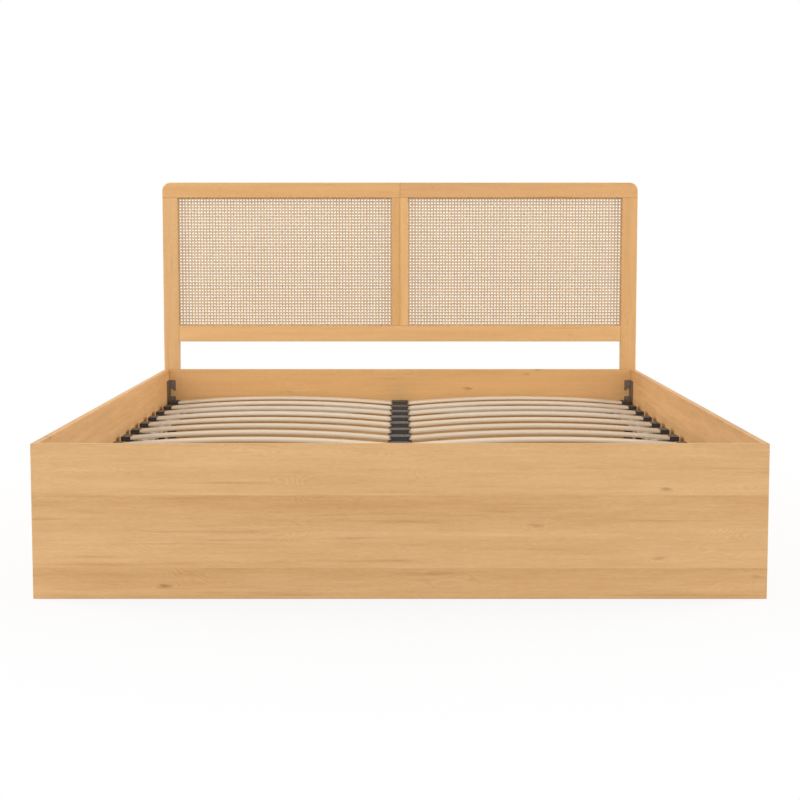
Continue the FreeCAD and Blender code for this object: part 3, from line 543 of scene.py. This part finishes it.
@dataclass(frozen=True)
class Speckled(Finish):
    """A plain coat, plating or moulding with a fine grit in its colour, roughness and surface.

    The grit is drawn a few times its real size so that it shows, and the colour clouds are far wider.
    """

    light: str
    dark: str
    grit_mm: float
    roughness: float
    metallic: float = 0.0
    bump: float = 0.2
    bump_mm: float = 0.1
    edge_mm: float = 0.5
    # grits across a colour cloud, the grit noise's usual span, and how far it moves the roughness either way
    cloud_grits: float = 30.0
    grit_span: tuple[float, float] = (0.3, 0.7)
    roughness_spread: float = 0.06

    def paint(self, tree: Tree) -> Socket:
        """Mixes two near tones by cloudy noise, with finer grit in the roughness and the bump.

        Args:
            tree: the material's node tree.

        Returns:
            The shader's surface.
        """
        place = add_node(tree, "TexCoord", output="Object")
        cloud_mm = self.grit_mm * self.cloud_grits
        cloud = add_node(tree, "TexNoise", {"Vector": place, "Scale": METRE / cloud_mm, "Detail": 4.0})
        grit = add_node(tree, "TexNoise", {"Vector": place, "Scale": METRE / self.grit_mm, "Detail": 2.0})
        coat = add_node(tree, "Mix", {SHARE: cloud, COLOUR_A: linear(self.dark),
                                      COLOUR_B: linear(self.light)}, output=MIXED, data_type="RGBA")
        rough = add_node(tree, "MapRange", (grit, *self.grit_span, self.roughness - self.roughness_spread,
                                            self.roughness + self.roughness_spread))
        edge = add_node(tree, "Bevel", {"Radius": self.edge_mm * MM}, samples=4)
        bump = add_node(tree, "Bump", {"Height": grit, "Strength": self.bump, "Distance": self.bump_mm * MM,
                                       "Normal": edge})
        return add_node(tree, "BsdfPrincipled", {"Base Color": coat, "Roughness": rough, "Normal": bump,
                                                 "Metallic": self.metallic})


@dataclass(frozen=True)
class Backdrop(Finish):
    """Matt paper of a pale studio floor: seen directly it is white, with part of the bed's shadow near it."""

    light: str = "#DCDAD7"
    dark: str = "#D6D4D1"
    shaded: str = "#F3F1EF"
    cloud_mm: float = 500.0
    roughness: float = 0.9
    # how much of the shadow shows, and the stretched distance in metres over which it fades
    shadow_share: float = 0.15
    shadow_stretch: tuple[float, float, float] = (0.9, 0.75, 0.0)
    shadow_fade: tuple[float, float] = (0.9, 1.7)

    def paint(self, tree: Tree) -> Socket:
        """Mixes white with lit paper for rays that see the floor, and throws light back from grey paper.

        Args:
            tree: the material's node tree.

        Returns:
            The mixed surface.
        """
        place = add_node(tree, "TexCoord", output="Object")
        cloud = add_node(tree, "TexNoise", {"Vector": place, "Scale": METRE / self.cloud_mm})
        paper = add_node(tree, "Mix", {SHARE: cloud, COLOUR_A: linear(self.dark),
                                       COLOUR_B: linear(self.light)}, output=MIXED, data_type="RGBA")
        matt = add_node(tree, "BsdfPrincipled", {"Base Color": paper, "Roughness": self.roughness,
                                                 "Specular IOR Level": 0.0})
        spot = add_node(tree, "VectorMath", (place, self.shadow_stretch), operation="MULTIPLY")
        reach = add_node(tree, "VectorMath", (spot,), output="Value", operation="LENGTH")
        near = add_node(tree, "MapRange", (reach, *self.shadow_fade, self.shadow_share, 0.0),
                        interpolation_type="SMOOTHSTEP")
        lit = add_node(tree, "BsdfDiffuse", {"Color": linear(self.shaded)})
        glow = add_node(tree, "Emission", {"Color": linear(WHITE), "Strength": 1.0})
        seen = add_node(tree, "MixShader", (near, glow, lit))
        return add_node(tree, "MixShader", (seen_directly(tree), matt, seen))


# soft-sheened black mouldings
BLACK_PLASTIC = Speckled("moulded_black_polypropylene", "#23201E", "#191715", 0.8, 0.4, bump=0.25)
# slightly rough black coat of the lift gear
BLACK_COAT = Speckled("black_powder_coated_steel", "#2B2928", "#1E1C1B", 1.2, 0.42, bump=0.35)
# slightly rough light grey coat of the platform's tubes
GREY_COAT = Speckled("grey_powder_coated_steel", "#BFBBB4", "#AEAAA3", 1.2, 0.5, bump=0.35)
# dull brown plating of the corner brackets
BRONZED = Speckled("bronzed_steel_plate", "#7A6655", "#655446", 0.7, 0.45, metallic=0.5)
# bright pale plating of bolts, nuts and rods
ZINC = Speckled("zinc_plated_steel", "#C9C8C4", "#ABA9A4", 0.6, 0.32, metallic=0.95, bump=0.1)
# dull black pads
RUBBER = Speckled("moulded_black_rubber", "#2A2928", "#1D1C1B", 0.9, 0.75, bump=0.3)
# matt off-white floor of the box
HARDBOARD = Speckled("white_faced_hardboard", "#F2EEE7", "#E9E4DB", 1.4, 0.55, bump=0.3)
# smooth cream slats
SLAT_BEECH = Beech("bent_beech_laminate")
# glossy straw-coloured strands
RATTAN = Cane("split_rattan_cane")
# pale yellow battens with plain grain
PINE = Oak("sawn_pine", Grain.ACROSS_BED, "#E6C692", "#CFA76C", 9.3, knots=0.0)


@dataclass(frozen=True)
class ScrewHead:
    """Domed heads of wood screws with a cross recess, in millimetres."""

    radius: float = 4.3
    height: float = 2.1
    sunk: float = 0.4
    slot_width: float = 1.3
    slot_length: float = 2.5
    slot_depth: float = 1.2
    slot_slope: float = 0.3
    rings: int = 9
    turns: int = 32

    def shape(self) -> tuple[np.ndarray, np.ndarray, np.ndarray]:
        """Half an ellipse turned about its axis, less a cross within half a slot's width of either axis.

        Returns:
            Two offsets in the plate's plane and one out of it, one row of points for each ring, with a
            last ring sunk into the plate.
        """
        share = np.append(np.arange(1, self.rings + 1) / self.rings, 1.0)[:, None]
        turn = np.linspace(0, FULL_TURN, self.turns, endpoint=False)[None, :]
        u, v = self.radius * share * np.cos(turn), self.radius * share * np.sin(turn)
        near, far = np.minimum(np.abs(u), np.abs(v)), np.maximum(np.abs(u), np.abs(v))
        cut = np.clip((self.slot_width / 2 - near) / self.slot_slope + 0.5, 0, 1)
        cut = cut * np.clip((self.slot_length - far) / self.slot_slope + 0.5, 0, 1)
        out = self.height * np.sqrt(1 - share ** 2) - self.slot_depth * cut
        out[-1] = -self.sunk
        return u, v, out

    def drive(self, name: str, places: Sequence[Sequence[float]], facing: Sequence[Sequence[float]],
              finish: Finish) -> None:
        """Puts a head at each place, with its cross turned by chance.

        Args:
            name: the piece's name.
            places: each screw's point on its plate, in millimetres.
            facing: the way that each head looks.
            finish: their finish.
        """
        place, out = np.array(places, float), np.array(facing, float)
        upright = np.array((0.0, 0.0, 1.0))
        turn = np.random.default_rng(len(places)).uniform(0, math.pi / 2, len(places))[:, None]
        across = np.cross(upright, out) * np.cos(turn) + upright * np.sin(turn)
        axes = [axis[:, None, None, :] for axis in (across, np.cross(out, across), out)]
        u, v, w = (values[None, :, :, None] for values in self.shape())
        points = place[:, None, None, :] + u * axes[0] + v * axes[1] + w * axes[2]
        new_piece(name, points * MM, tube_faces(*points.shape[:3], flipped=True), "base", finish)


@dataclass(frozen=True)
class Span:
    """One direction of a cane panel: the opening's ends, the room inside them and the number of holes."""

    low: float
    high: float
    room: float
    holes: int

    def place(self, number: np.ndarray) -> np.ndarray:
        """Where strands of these numbers lie, numbers 0 and holes being the outermost in the opening."""
        pitch = (self.high - self.low - 2 * self.room) / self.holes
        return self.low + self.room + pitch * number


@dataclass
class Headboard:
    """Posts, rails and stiles of oak round two panels of open woven cane, in millimetres."""

    opening_near: float = 27.0
    opening_far: float = 725.0
    opening_low: float = 474.0
    opening_high: float = 891.0
    panel_front: float = 1017.5
    panel_depth: float = 2.4
    edge_room: float = 3.0
    holes_wide: int = 70
    holes_high: int = 42
    strand_width: float = 6.0
    strand_depth: float = 1.1
    # a strand runs on behind the frame by this share of a pitch, and has these points round and along it
    strand_end: float = 0.9
    strand_points: int = 6
    stations: int = 2
    # small differences between strands: in place, in width and in tone
    place_spread: float = 0.12
    width_spread: float = 0.03
    tones: tuple[float, float] = (0.05, 0.3)
    weave_seed: int = 40
    # a rail or post is cut from one plank that is wider than it
    member_plank: float = 900.0
    member_edge: float = -300.0
    member_knots: float = 0.4

    def build(self) -> None:
        """Weaves both panels, upright strands and level strands as one piece each."""
        for side in Side:
            rng = np.random.default_rng(self.weave_seed + side.value)
            level = self.strands(side, rng, upright=False)
            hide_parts(side.node("cane_panel"))
            self.strands(side, rng, upright=True)

    def strands(self, side: Side, rng: np.random.Generator, upright: bool) -> bpy.types.Object:
        """Weaves one set of strands of a panel, with one strand more behind the frame at each edge.

        A strand is a flat six-sided section carried along a straight path that waves in and out by the
        cosine of pi times the crossing number, so that it passes in front of every second strand of
        the other set, and neighbours wave the opposite way.

        Args:
            side: the half of the headboard.
            rng: source of the small differences between strands.
            upright: whether this set stands up or lies level.

        Returns:
            The woven set as one piece.
        """
        wide = Span(self.opening_near, self.opening_far, self.edge_room, self.holes_wide)
        high = Span(self.opening_low, self.opening_high, self.edge_room, self.holes_high)
        own, other = (wide, high) if upright else (high, wide)
        number = np.arange(-1, own.holes + 2)
        count = number.size
        offsets = own.place(number) + rng.normal(0, self.place_spread, count)
        steps = (other.holes + 2) * self.stations + 1
        crossing = np.linspace(-self.strand_end, other.holes + self.strand_end, steps)
        turn = np.linspace(0, FULL_TURN, self.strand_points, endpoint=False) + math.pi / self.strand_points
        half = self.strand_width / 2 * rng.normal(1, self.width_spread, count)
        across = offsets[:, None, None] + half[:, None, None] * np.cos(turn)[None, None, :]
        way = (1 if upright else -1) * (-1.0) ** np.arange(count)
        sway = (self.panel_depth - self.strand_depth) / 2
        wave = sway * way[:, None] * np.cos(math.pi * crossing)[None, :]
        middle = self.panel_front + self.panel_depth / 2
        depth = middle + wave[:, :, None] + self.strand_depth / 2 * np.sin(turn)[None, None, :]
        across, along, depth = np.broadcast_arrays(across, other.place(crossing)[None, :, None], depth)
        x, z = (across, along) if upright else (along, across)
        points = np.stack([x * side.value, depth, z], axis=-1) * MM
        faces = tube_faces(*depth.shape, flipped=upright == (side is Side.RIGHT))
        tone = np.broadcast_to(rng.uniform(*self.tones, count)[:, None, None], depth.shape)
        edge = np.broadcast_to(np.abs(np.cos(turn))[None, None, :], depth.shape)
        name = side.node("cane_uprights" if upright else "cane_levels")
        return new_piece(name, points, faces, "base", RATTAN,
                         {"strand_tone": tone, "strand_edge": edge})

    def dress(self) -> None:
        """Gives every headboard member its own oak, with the grain along it."""
        for name, node, grain, light, dark, seed in (
                ("oak_post_left", "left_post", Grain.UPRIGHT, "#DEB27D", "#C6975E", 2.1),
                ("oak_post_right", "right_post", Grain.UPRIGHT, "#DEB076", "#C49157", 4.1),
                ("oak_top_rail_left", "top_rail_left", Grain.ACROSS_BED, "#E1B277", "#C9975B", 4.6),
                ("oak_top_rail_right", "top_rail_right", Grain.ACROSS_BED, "#DEAE76", "#C69359", 6.6),
                ("oak_stile_left", "centre_stile_left", Grain.UPRIGHT, "#DFB074", "#C59256", 7.2),
                ("oak_stile_right", "centre_stile_right", Grain.UPRIGHT, "#EABD83", "#D2A063", 9.2),
                ("oak_bottom_rail", "bottom_rail", Grain.ACROSS_BED, "#EBBD83", "#D2A167", 7.7)):
            Oak(name, grain, light, dark, seed, self.member_plank, self.member_edge,
                self.member_knots).dress(node)
        Oak("oak_head_panel", Grain.ACROSS_BED, "#E5B67D", "#C9995B", 2.9).dress("head_panel")
        PINE.dress("cane_beads_left", "cane_beads_right", "headboard_dowels")
        ZINC.dress("hook_bolts")


@dataclass
class StorageBox:
    """Foot and side panels, floor, corner brackets and the rests under the platform, in millimetres."""

    # screws on the side panels: the flanges' face, then each bracket's place along the bed and two heights
    flange_face: float = 757.0
    hook_screw: tuple[float, tuple[float, float]] = (983.5, (122.0, 276.0))
    foot_screw: tuple[float, tuple[float, float]] = (-998.5, (69.0, 151.0))
    # screws on the foot panel: places across and along the bed
    end_screw: tuple[float, float] = (736.0, -1019.5)

    def build(self) -> None:
        """Drives the screws of the corner brackets."""
        places, facing = [], []
        for side in Side:
            for y, heights in (self.hook_screw, self.foot_screw):
                places += [(side.value * self.flange_face, y, z) for z in heights]
                facing += [(-side.value, 0, 0) for _ in heights]
            x, y = self.end_screw
            places += [(side.value * x, y, z) for z in self.foot_screw[1]]
            facing += [(0, 1, 0) for _ in self.foot_screw[1]]
        ScrewHead().drive("bracket_screws", places, facing, BRONZED)

    def dress(self) -> None:
        """Gives each board its own oak and the rest their finishes."""
        Oak("oak_foot_panel", Grain.ACROSS_BED, "#E8BE88", "#C4945C", 1.7).dress("foot_panel")
        Oak("oak_side_panel_left", Grain.ALONG_BED, "#F0C087", "#BD8B52", 4.4).dress("side_panel_left")
        Oak("oak_side_panel_right", Grain.ALONG_BED, "#EDBD85", "#B98951", 6.1).dress("side_panel_right")
        HARDBOARD.dress("floor_board_foot", "floor_board_middle", "floor_board_head")
        PINE.dress("floor_bearers", "foot_rest", "side_rests")
        RUBBER.dress("rest_pads")
        BRONZED.dress("hook_bracket_left", "hook_bracket_right", "foot_brackets")


@dataclass
class SlatPlatform:
    """Steel frame with rows of two bowed slats between end caps and centre holders, in millimetres."""

    rows: int = 12
    first_row: float = -848.0
    row_pitch: float = 165.0
    inner_end: float = 23.5
    outer_end: float = 744.85
    width: float = 53.0
    thickness: float = 8.0
    bow: float = 17.0
    end_height: float = 222.569
    edge_radius: float = 3.6
    edge_points: int = 5
    # an edge's radius is never more than this share of half the thickness
    edge_share: float = 0.95
    # slat ends: rounded corners in plan, and a stretch that thins towards the tip
    nose_radius: float = 5.0
    tip_length: float = 4.0
    tip_thinning: float = 0.8
    stations: int = 56
    # stations crowd towards the ends by this power
    crowding: float = 1.6
    tone_spread: float = 0.35
    # weld beads
    weld_radius: float = 2.6
    weld_pitch: float = 2.8
    weld_ripple: float = 0.2
    weld_margin: float = 1.5
    weld_rings: int = 49
    weld_turns: int = 12

    def profile(self, half_width: np.ndarray, half_depth: np.ndarray) -> tuple[np.ndarray, np.ndarray]:
        """Rounded section: four quarter circles of the edge radius joined by flats.

        Args:
            half_width: half the section's width at each station.
            half_depth: half its thickness at each station.

        Returns:
            Offsets across and up, one row for each station.
        """
        turn = np.linspace(0, math.pi / 2, self.edge_points)
        angles = np.concatenate([turn + quarter * math.pi / 2 for quarter in range(4)])
        radius = np.minimum(self.edge_radius, half_depth * self.edge_share)[:, None]
        side = np.repeat([1, -1, -1, 1], self.edge_points)[None, :]
        level = np.repeat([1, 1, -1, -1], self.edge_points)[None, :]
        across = side * (half_width[:, None] - radius) + radius * np.cos(angles)[None, :]
        up = level * (half_depth[:, None] - radius) + radius * np.sin(angles)[None, :]
        return across, up

    def slat(self, y: float, sign: int) -> tuple[np.ndarray, np.ndarray]:
        """One bowed slat: the section carried along a circular arc, with its corners rounded in plan.

        The arc's radius is the square of the chord over eight times the bow, plus half the bow.

        Args:
            y: the row's place along the bed.
            sign: 1 for the right slat, -1 for the left.

        Returns:
            Its points in millimetres, and each point's height in the section from -1 to 1.
        """
        chord = self.outer_end - self.inner_end
        radius = chord ** 2 / (8 * self.bow) + self.bow / 2
        reach = math.asin(chord / 2 / radius)
        share = np.linspace(-1, 1, self.stations)
        angle = reach * np.sign(share) * (1 - (1 - np.abs(share)) ** self.crowding)
        from_end = (reach - np.abs(angle)) * radius
        nose = np.clip(self.nose_radius - from_end, 0, None)
        half_width = self.width / 2 - self.nose_radius + np.sqrt(self.nose_radius ** 2 - nose ** 2)
        tip = np.clip(1 - from_end / self.tip_length, 0, 1)
        half_depth = self.thickness / 2 * np.sqrt(1 - self.tip_thinning * tip ** 2)
        across, up = self.profile(half_width, half_depth)
        middle = (self.outer_end + self.inner_end) / 2
        crown = self.end_height + self.bow
        x = middle + (radius + up) * np.sin(angle)[:, None]
        z = crown - radius + (radius + up) * np.cos(angle)[:, None]
        points = np.stack([x * sign, y + across, z], axis=-1)
        return points, up / (self.thickness / 2)

    def build(self) -> None:
        """Makes the slats of each row as one piece, each slat with its own tone, and the weld beads."""
        rng = np.random.default_rng(self.rows)
        for row in range(self.rows):
            y = self.first_row + self.row_pitch * row
            points, heights, tones, faces = [], [], [], []
            for sign in (1, -1):
                shape, height = self.slat(y, sign)
                faces += tube_faces(1, *height.shape, flipped=sign == 1, first=height.size * len(points))
                points.append(shape.reshape(-1, 3))
                heights.append(height.ravel())
                tones.append(np.full(height.size, rng.uniform(-self.tone_spread, self.tone_spread)))
            name = f"bowed_slats_{row + 1:02d}"
            piece = new_piece(name, np.concatenate(points) * MM, faces, "platform", SLAT_BEECH,
                              {"veneer": np.concatenate(heights), "slat_tone": np.concatenate(tones)})
            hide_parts(f"slat_row_{row + 1:02d}")
        self.welds()

    def welds(self) -> None:
        """Runs a bead up each corner where two tubes meet.

        A bead is an upright rod whose radius ripples with the size of a sine of its height.
        """
        side_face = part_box("side_tube_right")[0][0]
        centre_low, centre_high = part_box("centre_tube")
        corners = []
        for cross in ("foot_cross_tube", "middle_tubes", "head_cross_tube"):
            low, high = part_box(cross)
            corners += [(x, y) for x in (-side_face, side_face) for y in (low[1], high[1])]
            if cross == "middle_tubes":
                corners += [(x, y) for x in (centre_low[0], centre_high[0]) for y in (low[1], high[1])]
        corners += [(x, y) for x in (centre_low[0], centre_high[0]) for y in (centre_low[1], centre_high[1])]
        place = np.array(corners)[:, None, None, :]
        margin = self.weld_margin * MM
        height = np.linspace(centre_low[2] + margin, centre_high[2] - margin, self.weld_rings)
        wave = np.abs(np.sin(math.pi * (height - height[0]) / (self.weld_pitch * MM)))
        ripple = 1 - self.weld_ripple + self.weld_ripple * wave
        radius = (self.weld_radius * MM * ripple)[None, :, None]
        turn = np.linspace(0, FULL_TURN, self.weld_turns, endpoint=False)[None, None, :]
        x, y = place[..., 0] + radius * np.cos(turn), place[..., 1] + radius * np.sin(turn)
        points = np.stack([x, y, np.broadcast_to(height[None, :, None], x.shape)], axis=-1)
        new_piece("weld_beads", points, tube_faces(*x.shape), "platform", GREY_COAT)

    def dress(self) -> None:
        """Gives the frame its powder coat and the holders their plastic."""
        GREY_COAT.dress("side_tube_left", "side_tube_right", "centre_tube", "foot_cross_tube",
                        "head_cross_tube", "middle_tubes")
        BLACK_PLASTIC.dress("slat_caps_left", "slat_caps_right", "centre_holders", "tube_plugs")


@dataclass
class LiftGear:
    """Hinge plates, pins and gas struts on both sides, in millimetres."""

    # the plates' face, and each screw's place along the bed and height
    plate_face: float = 757.0
    plate_screws: tuple[tuple[float, float], ...] = ((851.5, 48.0), (851.5, 191.0), (807.5, 125.5))

    def build(self) -> None:
        """Drives the screws of the lift plates."""
        places = [(side.value * self.plate_face, y, z) for side in Side for y, z in self.plate_screws]
        facing = [(-np.sign(place[0]), 0, 0) for place in places]
        ScrewHead().drive("plate_screws", places, facing, ZINC)

    def dress(self) -> None:
        """Gives the plates and cylinders their coat and the turned pieces their plating."""
        for side in Side:
            BLACK_COAT.dress(side.node("lift_plate"), side.node("strut_cylinder"))
            ZINC.dress(side.node("strut_rod"))
        ZINC.dress("lift_nuts", "lift_pins", "upper_bolts")


@dataclass(frozen=True)
class Lamp:
    """A square soft lamp: where it hangs and the point that it faces, its side in metres, and its watts."""

    name: str
    place: tuple[float, float, float]
    target: tuple[float, float, float]
    side: float
    power: float

    def hang(self) -> None:
        """Adds the lamp to the scene, turned to face its target."""
        light = bpy.data.lights.new(self.name, "AREA")
        light.size = self.side
        light.energy = self.power
        lamp = bpy.data.objects.new(self.name, light)
        lamp.location = self.place
        aim = np.array(self.target) - np.array(self.place)
        lamp.rotation_euler = (math.atan2(math.hypot(aim[0], aim[1]), -aim[2]), 0.0,
                               math.atan2(aim[1], aim[0]) - math.pi / 2)
        bpy.context.scene.collection.objects.link(lamp)


@dataclass
class Studio:
    """White floor and backdrop, soft lamps and the camera, in metres and degrees."""

    camera_place: tuple[float, float, float] = (0.0, -4.5773, 0.7570)
    camera_pitch: float = 5.403
    focal_pixels: float = 1701.8
    image_pixels: float = 800.0
    sensor_mm: float = 36.0
    floor_half: float = 14.0
    floor_level: float = -0.0005
    sky: float = 0.58
    lamps: tuple[Lamp, ...] = (
        Lamp("left_lamp", (-4.2, 0.5, 1.9), (0.0, 0.0, 0.2), 3.0, 135),
        Lamp("right_lamp", (4.2, 0.5, 1.9), (0.0, 0.0, 0.2), 3.0, 130),
        Lamp("front_lamp", (-1.0, -14.0, 3.2), (0.0, 0.0, 0.4), 7.0, 740))

    def build(self) -> None:
        """Sets up the floor, the light and the view."""
        self.floor()
        self.world()
        for lamp in self.lamps:
            lamp.hang()
        self.camera()
        bpy.context.scene.view_settings.view_transform = "Standard"

    def floor(self) -> None:
        """Lays a wide white floor, a little below the bed's feet."""
        mesh = bpy.data.meshes.new("studio_floor")
        corners = np.array([(-1, -1), (1, -1), (1, 1), (-1, 1)]) * self.floor_half
        mesh.from_pydata([(x, y, self.floor_level) for x, y in corners], [], [(0, 1, 2, 3)])
        mesh.materials.append(Backdrop("white_studio_floor").material())
        piece = bpy.data.objects.new("studio_floor", mesh)
        bpy.context.scene.collection.objects.link(piece)

    def world(self) -> None:
        """Sets an even pale sky that shows as plain white."""
        world = bpy.data.worlds.new("white_studio")
        world.use_nodes = True
        tree = world.node_tree
        tree.nodes.clear()
        light = add_node(tree, "Background", {"Color": linear(WHITE), "Strength": self.sky})
        white = add_node(tree, "Background", {"Color": linear(WHITE), "Strength": 1.0})
        both = add_node(tree, "MixShader", (seen_directly(tree), light, white))
        add_node(tree, "OutputWorld", {"Surface": both}, output=None)
        bpy.context.scene.world = world

    def camera(self) -> None:
        """Sets the photograph's view: straight from the foot, a little above the headboard's middle."""
        data = bpy.data.cameras.new("view_from_foot")
        data.sensor_width = self.sensor_mm
        data.lens = self.focal_pixels * self.sensor_mm / self.image_pixels
        camera = bpy.data.objects.new("view_from_foot", data)
        camera.location = self.camera_place
        camera.rotation_euler = (math.radians(90 - self.camera_pitch), 0.0, 0.0)
        bpy.context.scene.collection.objects.link(camera)
        bpy.context.scene.camera = camera


def main() -> None:
    """Sets the studio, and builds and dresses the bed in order."""
    logging.basicConfig(level=logging.INFO, format="%(message)s")
    Studio().build()
    for assembly in (Headboard(), StorageBox(), SlatPlatform(), LiftGear()):
        assembly.build()
        assembly.dress()


if __name__ == "__main__":
    main()
